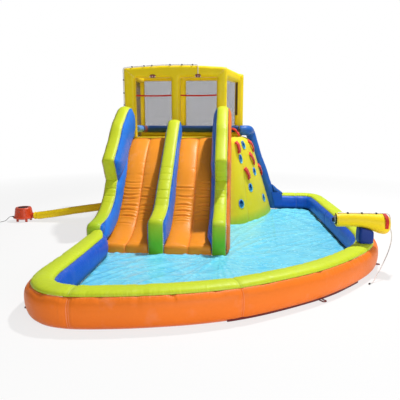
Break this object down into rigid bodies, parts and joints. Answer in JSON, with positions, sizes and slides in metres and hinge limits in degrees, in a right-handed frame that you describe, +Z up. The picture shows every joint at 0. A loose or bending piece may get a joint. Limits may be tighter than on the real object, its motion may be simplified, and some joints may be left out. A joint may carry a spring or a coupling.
{
  "type": "inflatable water slide",
  "caption": "Inflatable water slide with side-by-side lanes, a netted tower, a leaning climbing wall, a splash pool, a water cannon and a separate air blower.",
  "frame": {"origin": "on the ground under the middle of the tower, in the plane that the slide stands on", "axes": "+X to the right of someone who faces the lanes, +Y from that person towards the tower's back, +Z up"},
  "size_m": [5.8026, 5.1817, 2.5681],
  "materials": {
    "orange_cover": "satin coated woven cover",
    "lane_cover": "smooth coated sliding surface",
    "lime_cover": "satin coated woven cover",
    "blue_cover": "satin coated woven cover",
    "yellow_cover": "satin coated woven cover",
    "cyan_liner": "glossy wrinkled vinyl",
    "grey_net": "fine mesh",
    "red_webbing": "woven webbing",
    "dark_webbing": "woven webbing",
    "sprayer_plastic": "moulded",
    "hose_rubber": "smooth hose",
    "black_plastic": "moulded",
    "red_housing": "moulded housing",
    "motor_metal": "plain metal",
    "cord_rubber": "matt cord sheath"
  },
  "bodies": {
    "slide": {"pool_front_outer": "orange_cover", "pool_front_top": "lime_cover", "pool_front_inner": "blue_cover", "pool_side_outer": "orange_cover", "pool_side_top": "lime_cover", "pool_side_inner": "blue_cover", "pool_floor": "cyan_liner", "stake_loop_1": "dark_webbing", "stake_loop_2": "dark_webbing", "stake_loop_3": "dark_webbing", "lane_left": "lane_cover", "lane_right": "lane_cover", "slide_left_inner": "blue_cover", "slide_left_outer": "orange_cover", "slide_left_top": "lime_cover", "slide_right_inner": "blue_cover", "slide_right_outer": "orange_cover", "slide_right_top": "lime_cover", "divider_left": "blue_cover", "divider_right": "blue_cover", "divider_top": "lime_cover", "tower_base": "yellow_cover", "front_left_post": "yellow_cover", "front_centre_post": "yellow_cover", "front_right_post": "yellow_cover", "front_beam": "yellow_cover", "left_beam": "yellow_cover", "right_beam": "yellow_cover", "back_frame": "yellow_cover", "back_net_left": "grey_net", "back_net_right": "grey_net", "left_net": "grey_net", "grab_strap_left": "red_webbing", "grab_strap_right": "red_webbing", "guard_tube": "blue_cover", "climb_wall": "yellow_cover", "climb_grip_1": "red_webbing", "climb_grip_2": "red_webbing", "climb_grip_3": "red_webbing", "climb_rail": "blue_cover", "top_handle": "red_webbing", "sprayer_left": "sprayer_plastic", "sprayer_right": "sprayer_plastic", "water_hose": "hose_rubber", "cannon_hose": "hose_rubber", "blower_housing": "red_housing", "intake_grille": "black_plastic", "blower_motor": "motor_metal", "air_tube": "yellow_cover", "cord_gland": "cord_rubber", "power_cord": "cord_rubber", "cord_coil": "cord_rubber", "power_plug": "cord_rubber"},
    "cannon": {"cannon_post": "blue_cover", "cannon_barrel": "yellow_cover", "cannon_nozzle": "black_plastic", "cannon_grip": "red_webbing", "feed_hose": "hose_rubber"},
    "impeller": {"blower_impeller": "black_plastic"},
    "switch": {"blower_switch": "black_plastic"}
  },
  "joints": [
    {"name": "cannon_turn", "type": "hinge", "parent": "slide", "child": "cannon", "pos_m": [2.4, -2.7, 0.3086], "axis": [0, 0, 1], "range_deg": [-25, 25]},
    {"name": "impeller_spin", "type": "hinge", "parent": "slide", "child": "impeller", "pos_m": [-2.565, -0.72, 0.137], "axis": [0, 0, 1], "continuous": true},
    {"name": "switch_rock", "type": "hinge", "parent": "slide", "child": "switch", "pos_m": [-2.565, -0.866, 0.182], "axis": [1, 0, 0], "range_deg": [-14, 0]}
  ]
}
